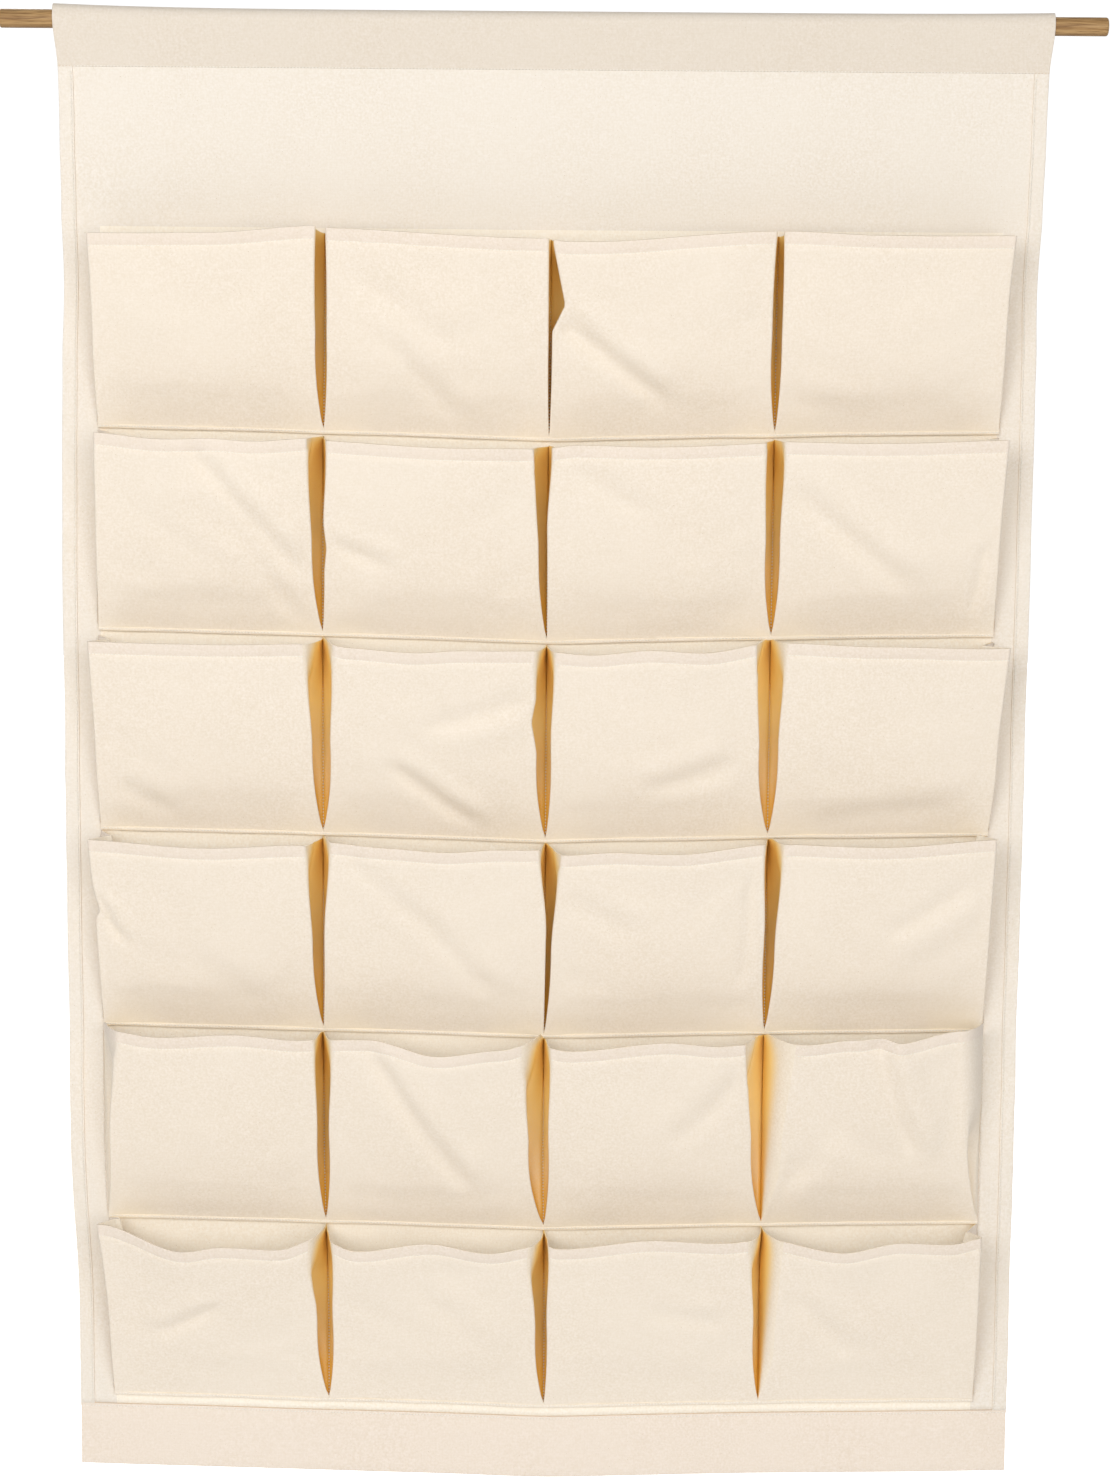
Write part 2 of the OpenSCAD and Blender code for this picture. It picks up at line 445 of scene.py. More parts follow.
def flecked(n, colour, mottle, slubs):
    """The colour of raw cotton: mottled and clouded, with darker slubs and a few seed flecks."""
    place = n.place()
    pale = tuple(min(1.0, c * f) for c, f in zip(colour, (1.03, 1.035, 1.06)))
    dark = tuple(c * f for c, f in zip(colour, (0.93, 0.905, 0.86)))
    cloud = n.noise(place, 9, 2.0)
    base = n.mix(n.ramp(mottle, 0.32, 0.68), dark, pale)
    base = n.mix(n.math("MULTIPLY", n.ramp(cloud, 0.35, 0.65), 0.5), base, colour)
    base = n.mix(n.math("MULTIPLY", n.ramp(slubs, 0.8, 1.25), 0.35), base, dark)
    spot = n.tree.nodes.new("ShaderNodeTexVoronoi")
    n.link(n.stretch(place, (55, 55, 55)), spot.inputs["Vector"])
    near = n.math("LESS_THAN", spot.outputs["Distance"], 0.06)
    chosen = n.math("GREATER_THAN", n.noise(place, 31, 0.0), 0.52)
    return n.mix(n.math("MULTIPLY", near, n.math("MULTIPLY", chosen, 0.85)), base, SEED_FLECK)


def canvas(name, colour, painted_tint=PAINTED_WARM_SHADE, reach=14 * MM, fade=(0.5, 0.0), painted_shade_below=0.0):
    """Plain-woven cotton: fine threads over and under, with slubs. Where other cloth is nearer than
    reach, painted shade and bounce light turn it towards the given tint as its openness falls from
    fade[0] to fade[1], and then towards a painted dark golden shade in the tightest gaps. Folds
    that are sewn shut at the foot also get painted golden shade below the given height."""
    n = Nodes(name)
    cloth = n.cloth_place()
    across, up = n.split(cloth)
    warp = n.math("SINE", n.math("MULTIPLY", across, 2 * math.pi / THREAD_PERIOD))
    weft = n.math("SINE", n.math("MULTIPLY", up, 2 * math.pi / THREAD_PERIOD))
    weave = n.math("MULTIPLY", warp, weft)
    slubs = n.math("ADD", n.streaks(cloth, (900, 60, 1), 2.0), n.streaks(cloth, (60, 900, 1), 2.0))
    n.bump(n.math("ADD", n.math("MULTIPLY", weave, 0.5), slubs), 0.35, 0.22 * MM)

    mottle = n.noise(n.place(), 420, 4.0)
    base = flecked(n, colour, mottle, slubs)
    openness = n.openness(reach)
    # Painted shade and bounce light: the share of the tint where other cloth is near, and the share of
    # painted dark golden shade in the tightest gaps.
    folded = n.ramp(openness, *fade)
    painted_gold_share = n.math("MULTIPLY", n.ramp(openness, 0.30, 0.05), 0.4)
    # Painted golden shade low in folds that are sewn shut at the foot.
    if painted_shade_below:
        low = n.math("MULTIPLY", n.ramp(up, painted_shade_below, 0.3 * painted_shade_below), n.ramp(openness, 0.8, 0.5))
        folded = n.math("MAXIMUM", folded, low)
        painted_gold_share = n.math("MAXIMUM", painted_gold_share, n.math("MULTIPLY", low, 0.9))
    # The cloth's own colour with the painted shade and bounce light mixed in.
    base = n.mix(folded, base, n.mix(painted_gold_share, painted_tint, PAINTED_GOLD_SHADE))
    return n.finish(base, n.ramp(mottle, -1.2, 1.3), sheen=0.0 if painted_shade_below else 0.15)


def thread(name, colour):
    """Twisted cotton thread."""
    n = Nodes(name)
    twist = n.noise(n.place(), 1800, 2.0)
    dark = tuple(c * 0.86 for c in colour)
    n.bump(twist, 0.4, 0.15 * MM)
    return n.finish(n.mix(twist, dark, colour), 0.7)


def wood(name, broad, fine, detail, darker=0.0):
    """Oiled brown wood. Broad and fine are the scales of its streaks and pores along each axis."""
    n = Nodes(name)
    place = n.place()
    streak = n.streaks(place, broad, detail)
    pores = n.streaks(place, fine, 3.0)
    light = (0.50, 0.31, 0.135)
    middle = (0.335, 0.185, 0.068)
    dark = (0.135, 0.062, 0.022)
    colour = n.mix(n.ramp(streak, 0.38, 0.62), middle, light)
    colour = n.mix(n.math("MULTIPLY", n.ramp(pores, 0.48, 0.66), 0.85), colour, dark)
    colour = n.mix(darker, colour, dark)
    n.bump(n.math("ADD", streak, n.math("MULTIPLY", pores, 0.7)), 0.5, 0.35 * MM)
    return n.finish(colour, n.ramp(pores, -0.2, 1.4))


# The fronts turn lighter and warmer where other cloth is near: painted bounce light, standing in for light
# lost under the mouths of the row below.
canvas_front = canvas("canvas_front", (0.89, 0.795, 0.675), (1.0, 0.88, 0.68), 60 * MM, (0.9, 0.3))
# A lighter copy of the canvas for the insides of the pockets and the panel behind them: painted light where
# the pockets shade them.
canvas_inside = canvas("canvas_inside", (0.985, 0.905, 0.78))
# The folds between pockets: painted golden shade where they are narrow, and below 120 mm of cloth from the
# base where they are sewn shut.
canvas_fold = canvas("canvas_fold", (0.90, 0.80, 0.66), (0.98, 0.71, 0.25), 45 * MM, (0.78, 0.40), 120 * MM)
canvas_panel = canvas("canvas_panel", (0.875, 0.805, 0.71))
canvas_hem = canvas("canvas_hem", (0.875, 0.77, 0.66))
# A darker copy of the canvas for the loop round the rod: painted shade.
canvas_sleeve = canvas("canvas_sleeve", (0.79, 0.71, 0.61))
stitch_thread = thread("stitch_thread", (0.97, 0.92, 0.83))
rod_wood = wood("rod_wood", (9, 260, 260), (45, 1400, 1400), detail=5.0)
rod_end_wood = wood("rod_end_wood", (40, 420, 420), (60, 1500, 1500), detail=4.0, darker=0.45)


# ---------------------------------------------------------------- rod and loop
def make_rod():
    """The wooden rod: a turned stick with softly rounded ends and slightly uneven sides."""
    edge = 2.2 * MM
    rounded = [
        (ROD_HALF - edge * (1 - math.sin(angle)), ROD_RADIUS - edge * (1 - math.cos(angle)))
        for angle in np.linspace(0, math.pi / 2, 6)
    ]
    face = [(ROD_HALF, radius) for radius in np.linspace(ROD_RADIUS - edge, 0.2 * MM, 5)[1:]]
    half = [(x, ROD_RADIUS) for x in spaced(0, ROD_HALF - edge, 12 * MM)[:-1]] + rounded + face
    profile = np.array([(-x, radius) for x, radius in half[:0:-1]] + half)
    turn = np.linspace(0, 2 * math.pi, 49)[:-1]
    x = np.repeat(profile[:, :1], len(turn), axis=1)
    uneven = ripples(x, turn[None, :] * ROD_RADIUS, 0.03, seed=5)
    radius = profile[:, 1:] * (0.994 + 0.006 * uneven)
    grid = np.stack([x, -radius * np.sin(turn), radius * np.cos(turn)], axis=-1)
    rings, columns = grid.shape[:2]
    faces = tube_faces(rings, columns)
    at_end = np.abs(grid[:-1, :, 0]).reshape(-1) > ROD_HALF - 0.1 * MM
    shape = Shape()
    shape.add(grid, faces, at_end.astype(int))
    first = np.arange(columns)
    last = first + (rings - 1) * columns
    shape.fan(grid[0].mean(axis=0), first, slot=1)
    shape.fan(grid[-1].mean(axis=0), last[::-1], slot=1)
    rod = shape.build("wooden_rod", rod_wood, rod_end_wood)
    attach(rod, "dowel")
    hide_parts("dowel")


def make_loop():
    """The top of the cloth, over the rod and sewn together below it. Its upper corners stand off."""
    radius = ROD_RADIUS + 0.75 * MM
    drop = -LOOP_SEAM
    tangent = math.acos(radius / drop)
    around = np.linspace(-(math.pi - tangent), math.pi - tangent, 25)
    arc = np.stack([radius * np.sin(around), radius * np.cos(around)], axis=1)
    down = joined(spaced(0, 1, 0.125)[1:], 0.982)[:, None]
    apart = CLOTH / 2 + 0.1 * MM
    front = (arc[0] + (np.array([-apart, LOOP_SEAM]) - arc[0]) * down)[::-1]
    back = arc[-1] + (np.array([apart, LOOP_SEAM]) - arc[-1]) * down
    section = np.concatenate([front, arc, back])
    flat_y, flat_z = section[:, :1], section[:, 1:]

    rim = LOOP_HALF - 0.8 * MM
    x = joined(-rim, rim, spaced(-LOOP_HALF, LOOP_HALF, 9 * MM))
    taper = 1 - (LOOP_HALF - PANEL_HALF) / LOOP_HALF * smooth(-flat_z / drop)
    x_grid = x[None, :] * taper
    loose = smooth((-flat_z - 0.008) / 0.02) * smooth((flat_z + drop) / 0.015)
    y = flat_y + loose * 0.5 * MM * ripples(x_grid, flat_z, 0.12, seed=21)
    end = x_grid / LOOP_HALF
    stand = 0.5 * MM + np.where(end < 0, 4.0 * MM, 2.0 * MM) * np.abs(end) ** 5
    z = flat_z + stand * smooth((flat_z + 2 * MM) / ROD_RADIUS)
    shape = Shape()
    shape.thick(np.stack([x_grid + drift(x_grid, flat_z), y, z], axis=-1))
    loop = shape.build("rod_loop", canvas_sleeve)
    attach(loop, "sleeve")
    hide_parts("rod_sleeve")


def make_loop_stitches():
    """The seam below the rod, on both faces."""
    shape = Shape()
    x = spaced(-PANEL_HALF + 2 * MM, PANEL_HALF - 2 * MM, 20 * MM)
    for side in (-1, 1):
        y = np.full_like(x, side * (CLOTH + 0.15 * MM))
        z = np.full_like(x, LOOP_SEAM + 0.6 * MM)
        path = np.stack([x + drift(x, LOOP_SEAM), y, z], axis=1)
        shape.stitches(path, np.tile([0.0, side, 0.0], (len(x), 1)))
    piece = shape.build("loop_stitches", stitch_thread)
    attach(piece, "sleeve")
    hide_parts("sleeve_stitching")


# ---------------------------------------------------------------- panel
RIM = 0.7 * MM                        # a row of points this near an edge keeps its shading crisp


def make_panel():
    """The backing cloth, with its side hems turned to the front and a hollow hem along the foot."""
    shape = Shape()
    add_sheet(shape)
    add_foot_hem(shape)
    panel = shape.build("canvas_panel", canvas_panel, canvas_hem, canvas_inside)
    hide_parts("back_panel")
    bend_from_sleeve(panel)


def add_sheet(shape):
    """The sheet from one side hem to the other. Its slots are panel, hem, and behind the pockets."""
    fold = CLOTH / 2 + 0.02 * MM
    layer = PANEL_BACK - CLOTH / 2
    inner = PANEL_HALF - SIDE_HEM
    turn = np.linspace(-math.pi / 2, math.pi / 2, 6)
    hem_x = joined(inner, inner + RIM, spaced(inner, PANEL_HALF - fold, 3 * MM))
    turn_x = PANEL_HALF - fold + fold * np.cos(turn)
    turn_y = layer - fold + fold * np.sin(turn)
    middle_x = spaced(-PANEL_HALF + fold, PANEL_HALF - fold, 9 * MM)[1:-1]
    hem_y = np.full(len(hem_x) - 1, layer - 2 * fold)
    middle_y = np.full(len(middle_x), layer)
    x = np.concatenate([-hem_x[:-1], -turn_x, middle_x, turn_x[::-1], hem_x[::-1][1:]])
    y = np.concatenate([hem_y, turn_y, middle_y, turn_y[::-1], hem_y])
    top = LOOP_SEAM + 0.2 * MM
    z = joined(top, top - RIM, FOOT_SEAM, spaced(FOOT_SEAM, top, 9 * MM))

    cell_x, cell_y = np.abs(x[1:] + x[:-1]) / 2, (y[1:] + y[:-1]) / 2
    folded = (cell_x > inner) & (cell_y < layer - fold)
    slots = np.tile(folded.astype(int), (len(z) - 1, 1))
    mouth = places[0].seam + places[0].height
    # Behind the pockets the panel takes the lighter copy of the canvas: painted light.
    slots[(z[:-1] < mouth)[:, None] & (cell_x < ZONE_HALF)[None, :]] = 2
    shape.thick(hang(x[None, :], y[None, :], z[:, None]), slot=slots, back_slot=0)


def add_foot_hem(shape):
    """The foot, turned up to the front into a hollow hem that is pinched shut at its seam."""
    gap = 1.3 * MM
    layer = PANEL_BACK - CLOTH / 2
    turn = np.linspace(math.pi / 2, -math.pi / 2, 7)
    hem_top = FOOT_SEAM + 3 * MM
    back_z = joined(FOOT_SEAM, spaced(FOOT_EDGE + gap, FOOT_SEAM, 8 * MM))[::-1][:-1]
    front_z = joined(hem_top, hem_top - RIM, FOOT_SEAM, spaced(FOOT_EDGE + gap, hem_top, 8 * MM))[1:]
    z = np.concatenate([back_z, FOOT_EDGE + gap - gap * np.cos(turn), front_z])
    turn_y = layer - gap + gap * np.sin(turn)
    y = np.concatenate([np.full(len(back_z), layer), turn_y, np.full(len(front_z), layer - 2 * gap)])
    pinched = 1 - smooth((FOOT_SEAM - 2 * MM - z) / (8 * MM))
    y = np.where(y < layer - gap, y + pinched * (2 * gap - CLOTH - 0.1 * MM), y)
    rim = PANEL_HALF - RIM
    x = joined(-rim, rim, spaced(-PANEL_HALF, PANEL_HALF, 9 * MM))
    grid = hang(x[None, :], y[:, None], z[:, None])
    shape.thick(grid[::-1], slot=1)


def bend_from_sleeve(piece):
    """Bakes the piece's placement into its points."""
    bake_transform(piece)


def sew(shape, x, y, z, side):
    """A row of stitches through the panel at points of the flat pattern, seen from one side."""
    path = hang(x, y, z)
    shape.stitches(path, np.tile([0.0, side, 0.0], (len(path), 1)))


def make_hem_stitches():
    """The seams of the side hems and the foot hem, on both faces."""
    shape = Shape()
    hem_front = PANEL_BACK - CLOTH - 1.5 * MM
    z = spaced(FOOT_SEAM + 4 * MM, LOOP_SEAM - 3 * MM, 10 * MM)
    for side in (-1, 1):
        x = np.full_like(z, side * (PANEL_HALF - SIDE_HEM + 2 * MM))
        sew(shape, x, hem_front, z, -1)
        sew(shape, x, PANEL_BACK, z, 1)
    x = spaced(-PANEL_HALF + 1 * MM, PANEL_HALF - 1 * MM, 12 * MM)
    z = np.full_like(x, FOOT_SEAM + 0.5 * MM)
    sew(shape, x, PANEL_BACK - 2 * CLOTH - 0.1 * MM, z, -1)
    sew(shape, x, PANEL_BACK, z, 1)
    piece = shape.build("hem_stitches", stitch_thread)
    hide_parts("hem_stitching")
    bend_from_sleeve(piece)


# ---------------------------------------------------------------- strips of pockets
def make_strip_base(row, seam):
    """The folded lower edge of one strip, sewn flat to the panel."""
    rim = ZONE_HALF - 0.5 * MM
    x = joined(-rim, rim, spaced(-ZONE_HALF, ZONE_HALF, 5 * MM))
    proud = BAND_PROUD + 0.3 * MM * ripples(x, x * 0, 0.05, seed=40 + row)
    height = BASE_BAND * (1 + 0.10 * ripples(x, x * 0, 0.09, seed=50 + row))
    around = np.linspace(0, 2 * math.pi, 15)[:-1]
    squarish = np.sign(np.cos(around)) * np.abs(np.cos(around)) ** 0.55
    upright = np.sign(np.sin(around)) * np.abs(np.sin(around)) ** 0.7
    y = PANEL_FRONT - (0.15 * MM + proud[:, None] * (0.5 + 0.5 * squarish[None, :]))
    z = seam + 1.2 * MM - height[:, None] * (0.5 - 0.5 * upright[None, :])
    rings, columns = z.shape
    across = np.broadcast_to(x[:, None], z.shape)
    cloth = np.stack([across, z, np.zeros_like(z)], axis=-1).reshape(-1, 3)
    shape = Shape()
    shape.add(hang(x[:, None], y, z), tube_faces(rings, columns)[:, ::-1], cloth=cloth)
    first = np.arange(columns)
    last = first + (rings - 1) * columns
    shape.cap(first)
    shape.cap(last[::-1])
    band = shape.build(f"strip_{row}_folded_edge", canvas_front)
    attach(band, "panel")
    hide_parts(f"strip_base_r{row}")


def make_pocket_stitches():
    """The base seams and the upright seams between the pockets, on both faces of the panel."""
    shape = Shape()
    for first in places[::COLUMNS]:
        x = spaced(-ZONE_HALF + 1 * MM, ZONE_HALF - 1 * MM, 8 * MM)
        z = np.full_like(x, first.seam - 0.6 * MM)
        sew(shape, x, PANEL_FRONT - BAND_PROUD - 0.1 * MM, z, -1)
        sew(shape, x, PANEL_BACK, z, 1)
        z = spaced(first.seam + 3 * MM, first.seam + first.height - 3 * MM, 10 * MM)
        for line in column_lines:
            outwards = np.sign(line) * 1.5 * MM * (abs(line) > ZONE_HALF - MM)
            x = np.full_like(z, line + outwards)
            sew(shape, x, PANEL_FRONT - CLOTH - 0.2 * MM, z, -1)
            sew(shape, x, PANEL_BACK, z, 1)
    piece = shape.build("pocket_stitches", stitch_thread)
    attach(piece, "panel")
    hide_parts("pocket_stitching")


class Edge:
    """How far the upright edge of a front stands inside its column line, in millimetres, half way
    up and at the mouth. Heights are shares of the pocket's height.
    kink: (height, extra millimetres there, length above it, length below it).
    drawn: from 0 to 1, how far the pleat is drawn out into a plain round corner at the mouth.
    start: the height where that begins. Below -0.45, the whole pleat is drawn out."""

    def __init__(self, middle, top, kink=None, drawn=0.0, start=0.55):
        self.middle = middle
        self.top = top
        self.kink = kink
        self.drawn = drawn
        self.start = start

    def inset(self, t):
        curve = self.middle * 4 * t * (1 - t) + self.top * t * (2 * t - 1)
        curve = curve + 0.25 * self.middle * np.sin(2 * math.pi * np.clip(t, 0, 0.5))
        if self.kink:
            height, extra, above, below = self.kink
            curve = curve + np.interp(t, [height - below, height, height + above], [0, extra, 0])
        return (curve * smooth(t / 0.06) + 0.55 * smooth(t / 0.03)) * MM

    def drawn_at(self, t):
        return self.drawn * smooth((t - self.start) / min(0.45, 1 - self.start))


# The gaps between the fronts, row by row: for each column line from left to right, the edge of the
# pocket on its left and the edge of the pocket on its right.
GAPS = [
    [(None, Edge(-3, -4)),
     (Edge(6.8, 4.5), Edge(3.5, 4)),
     (Edge(1.5, 2), Edge(1.5, 1.5, kink=(0.68, 12, 0.30, 0.14))),
     (Edge(5.5, 4.6), Edge(3.4, 1)),
     (Edge(-2, -4), None)],
    [(None, Edge(1, 3)),
     (Edge(8.6, 9.5, drawn=0.4), Edge(2.4, 1, kink=(0.45, 2.5, 0.12, 0.12), drawn=0.8)),
     (Edge(8.5, 14), Edge(-0.5, -4, drawn=0.7)),
     (Edge(8, 9, drawn=0.3), Edge(5, 1, drawn=0.8)),
     (Edge(-1, -3.5), None)],
    [(None, Edge(-2, -3.5)),
     (Edge(8.3, 9, drawn=0.9), Edge(8.7, 9.5, drawn=0.7)),
     (Edge(8.5, 4.5, kink=(0.63, 5, 0.12, 0.17), drawn=0.9), Edge(4.5, 2, drawn=0.9)),
     (Edge(11, 15, drawn=0.3), Edge(7, 5.5, drawn=1)),
     (Edge(-5, -10), None)],
    [(None, Edge(-2, -6, kink=(0.62, 5, 0.14, 0.04))),
     (Edge(8.4, 9.3, drawn=0.6), Edge(2.6, 6.7, drawn=0.8)),
     (Edge(-1.5, -5.5, drawn=0.9), Edge(6.5, 12.5, drawn=0.6)),
     (Edge(3, -1, drawn=0.9), Edge(7, 9, drawn=0.8)),
     (Edge(-1, -2), None)],
    [(None, Edge(8, 17, drawn=0.8)),
     (Edge(4.4, -2, drawn=0.9), Edge(6.5, 6.5, drawn=0.9)),
     (Edge(14, 16, drawn=0.9), Edge(5, 0, drawn=0.9)),
     (Edge(12.5, 20, drawn=0.3), Edge(13, 26, drawn=1, start=-0.5)),
     (Edge(13, 20, drawn=1, start=0.2), None)],
    [(None, Edge(-2, -5)),
     (Edge(9.5, 7, kink=(0.8, 3, 0.18, 0.2), drawn=1), Edge(5.5, 4.5, drawn=0.8)),
     (Edge(8.5, 8, kink=(0.85, 2, 0.14, 0.18), drawn=1), Edge(2.5, -0.5, drawn=0.8)),
     (Edge(7.5, 8.5, drawn=1), Edge(8.5, 15, drawn=1, start=-0.5)),
     (Edge(0, 2), None)],
]


CREASE_UNIT = 1.6 * MM

# Soft dents across the fronts: (start, end, depth in CREASE_UNIT, width in millimetres). Start and
# end are (across, up) as shares of the front, from its lower left corner.
CREASES = {
    "r1c2": [((0.28, 0.52), (0.62, 0.12), 1.6, 16), ((0.15, 0.85), (0.6, 0.5), 1.2, 22)],
    "r1c3": [((0.06, 0.62), (0.52, 0.22), 3.4, 14)],
    "r1c4": [((0.1, 0.2), (0.45, 0.1), 1.0, 18)],
    "r2c1": [((0.48, 0.98), (0.97, 0.35), 3.0, 15), ((0.62, 0.7), (0.95, 0.1), 1.6, 18)],
    "r2c2": [((0.02, 0.5), (0.3, 0.4), 1.6, 12)],
    "r2c3": [((0.15, 0.9), (0.45, 0.7), 1.2, 16)],
    "r2c4": [((0.06, 0.8), (0.62, 0.28), 2.4, 17), ((0.97, 0.45), (0.93, 0.12), 2.2, 9)],
    "r3c1": [((0.12, 0.28), (0.35, 0.12), 1.2, 14)],
    "r3c2": [((0.98, 0.7), (0.5, 0.55), 1.6, 16), ((0.32, 0.4), (0.72, 0.09), 3.0, 13)],
    "r3c3": [((0.45, 0.3), (0.85, 0.42), 1.8, 16)],
    "r3c4": [((0.2, 0.1), (0.8, 0.2), 1.2, 20)],
    "r4c1": [((0.0, 0.7), (0.13, 0.48), 3.0, 8), ((0.4, 0.5), (0.75, 0.2), 1.2, 20)],
    "r4c2": [((0.42, 0.7), (0.8, 0.25), 1.8, 16), ((0.1, 0.95), (0.4, 0.7), 1.2, 16)],
    "r4c3": [((0.97, 0.85), (0.95, 0.3), 2.0, 9), ((0.05, 0.8), (0.4, 0.6), 1.2, 18)],
    "r4c4": [((0.9, 0.72), (0.55, 0.5), 1.6, 16)],
    "r5c2": [((0.22, 0.98), (0.72, 0.25), 3.2, 17)],
    "r5c3": [((0.6, 0.5), (0.95, 0.85), 1.4, 18)],
    "r5c4": [((0.5, 1.05), (0.76, 0.42), 4.0, 21), ((0.3, 0.5), (0.05, 0.2), 1.4, 20)],
    "r6c1": [((0.22, 0.42), (0.52, 0.62), 2.2, 12)],
    "r6c2": [((0.45, 0.75), (0.8, 0.35), 1.4, 18)],
    "r6c3": [((0.5, 0.62), (0.85, 0.55), 1.4, 14)],
    "r6c4": [((0.1, 0.7), (0.4, 0.35), 1.8, 18)],
}


def dent(across, up, size, start, end, depth, width):
    """How deep one crease is at points of a front of the given size, with a low fold beside it."""
    start = np.array(start)
    line = (np.array(end) - start) * size
    length = np.linalg.norm(line)
    along = line / length
    dx = (across - start[0]) * size[0]
    dz = (up - start[1]) * size[1]
    run = (dx * along[0] + dz * along[1]) / length
    off = (dx * along[1] - dz * along[0]) / (width * MM)
    fade = smooth((run + 0.15) / 0.3) * smooth((1.15 - run) / 0.3)
    groove = -np.exp(-(off - 0.5) ** 2 * 2) + 0.75 * np.exp(-(off + 0.7) ** 2 * 1.2)
    return depth * CREASE_UNIT * groove * fade


# The line of each mouth from one column line to the next: its high and low points, in order, as
# (share of the way across, millimetres above the flat pattern).
LIPS = {
    "r1c1": [(0, -1), (0.5, 1), (1, 8)],
    "r1c2": [(0, 6), (1, -2)],
    "r1c3": [(0, -3), (0.06, -5), (1, 6)],
    "r1c4": [(0, 6), (0.5, 3), (1, 3)],
    "r2c1": [(0, 0), (0.3, -4), (0.52, -2), (0.7, -4), (1, 0)],
    "r2c2": [(0, -2), (0.5, -4), (1, -3)],
    "r2c3": [(0, -2), (0.12, 1), (0.5, -2), (1, -1)],
    "r2c4": [(0, 0), (0.5, -2), (1, -1)],
    "r3c1": [(0, -3), (0.5, -2), (1, 0)],
    "r3c2": [(0, 3), (0.12, -2), (0.4, -4), (0.65, 0), (1, 1)],
    "r3c3": [(0, 0), (0.2, -3), (0.45, 1), (0.7, -3), (1, 5)],
    "r3c4": [(0, 5), (0.5, 1), (1, -3)],
    "r4c1": [(0, 1), (0.5, -3), (0.9, 1), (1, 0)],
    "r4c2": [(0, 5), (0.3, 2), (0.55, 0), (0.8, 4), (1, 4)],
    "r4c3": [(0, 3), (0.08, -1), (0.3, 2), (0.6, -1), (1, 6)],
    "r4c4": [(0, 6), (0.5, 3), (1, 8)],
    "r5c1": [(0, 11), (0.26, 5), (0.62, 10), (0.92, 5), (1, 6)],
    "r5c2": [(0, 6), (0.23, 9), (0.52, -6), (0.8, 2), (1, 12)],
    "r5c3": [(0, 6), (0.1, 2), (0.55, 10), (0.8, 4), (1, 6)],
    "r5c4": [(0, 8), (0.16, 4), (0.4, 12), (0.5, 14), (0.6, 7), (0.85, 16), (1, 18)],
    "r6c1": [(0, 9.5), (0.36, -14.5), (0.54, -8), (0.8, -11), (1, 2.5)],
    "r6c2": [(0, -1), (0.14, -10), (0.5, 3), (0.76, -7), (1, 1)],
    "r6c3": [(0, 2), (0.06, -2), (0.5, 7), (0.84, 1), (1, 3)],
    "r6c4": [(0, 3), (0.36, -9.5), (0.62, 1), (0.86, -2.5), (1, 3)],
}


def lip_rise(points, across):
    """How far a mouth's line is above the flat pattern, with a smooth step from point to point."""
    shares, heights = (np.array(values, float) for values in zip(*points))
    after = np.clip(np.searchsorted(shares, across, side="right"), 1, len(shares) - 1)
    start, end = shares[after - 1], shares[after]
    step = smooth((across - start) / (end - start))
    return (heights[after - 1] * (1 - step) + heights[after] * step) * MM


LEG_POINTS = 7                        # points along each leg of a pleat
TURN_POINTS = 6                       # points round its crease, and round its edge
FRONT_CELLS = 44                      # cells across a front
LEAST_REACH = 0.3 * PLEAT
CORNER = 9 * MM                       # how much further in a drawn-out corner starts to turn


def pocket_heights(height):
    """Heights of a pocket's rows of points: closer at the base seam, the hem and the mouth."""
    hem = height - MOUTH_HEM
    return joined(
        np.array([0, 1.2, 2.4, 3.6, 5.2, 7.5]) * MM,
        spaced(10 * MM, hem - 2 * MM, 5 * MM),
        np.array([hem - 0.8 * MM, hem, hem + 0.8 * MM]),
        np.array([height - 6 * MM, height - 1 * MM, height - 0.4 * MM, height]),
    )


def pleat_points(t, side, front_y, line_y):
    """Points of one pleat at heights t, from the column line in to the crease and out to the front's
    edge, as distances inwards from the column line and as y. Both are rows x points."""
    inset = side.inset(t)
    tip = (0.62 + 2.2 * t) * MM
    edge = (0.55 + 1.9 * t) * MM
    middle = (front_y + 2 * edge + line_y) / 2
    slant = (line_y - front_y) / 2
    reach = np.sqrt(np.maximum(PLEAT ** 2 - slant ** 2, LEAST_REACH ** 2)) * (1 - 0.5 * t ** 2)
    tip_x = reach - tip
    near_y, far_y = middle + tip, middle - tip
    centre_x = inset + edge
    centre_y = front_y + edge
    run_x = centre_x - tip_x
    run_y = centre_y + edge - far_y
    turned = np.arctan2(-run_x, np.minimum(run_y, -1e-6))
    turned = np.clip(turned, math.pi / 2, math.pi * 0.98)
    edge_x = centre_x + edge * np.cos(turned)
    edge_y = centre_y + edge * np.sin(turned)

    points = []
    for share in np.linspace(0, 1, LEG_POINTS + 1)[:-1]:
        points.append((tip_x * share, line_y + (near_y - line_y) * share ** 1.15))
    for angle in np.linspace(math.pi / 2, -math.pi / 2, TURN_POINTS):
        points.append((tip_x + tip * math.cos(angle), middle + tip * math.sin(angle)))
    for share in np.linspace(0, 1, LEG_POINTS + 1)[1:-1]:
        points.append((tip_x + (edge_x - tip_x) * share, far_y + (edge_y - far_y) * share))
    for share in np.linspace(0, 1, TURN_POINTS):
        angle = turned + (1.5 * math.pi - turned) * share
        points.append((centre_x + edge * np.cos(angle), centre_y + edge * np.sin(angle)))
    x, y = (np.stack(values, axis=1) for values in zip(*points))

    turn = np.linspace(0, math.pi / 2, x.shape[1])
    corner = np.maximum(inset, 0) + CORNER * smooth(t / 0.3)
    corner_x = corner[:, None] * (1 - np.cos(turn))
    corner_y = line_y[:, None] + (front_y - line_y)[:, None] * np.sin(turn)
    drawn = side.drawn_at(t)[:, None]
    return x + (corner_x - x) * drawn, y + (corner_y - y) * drawn


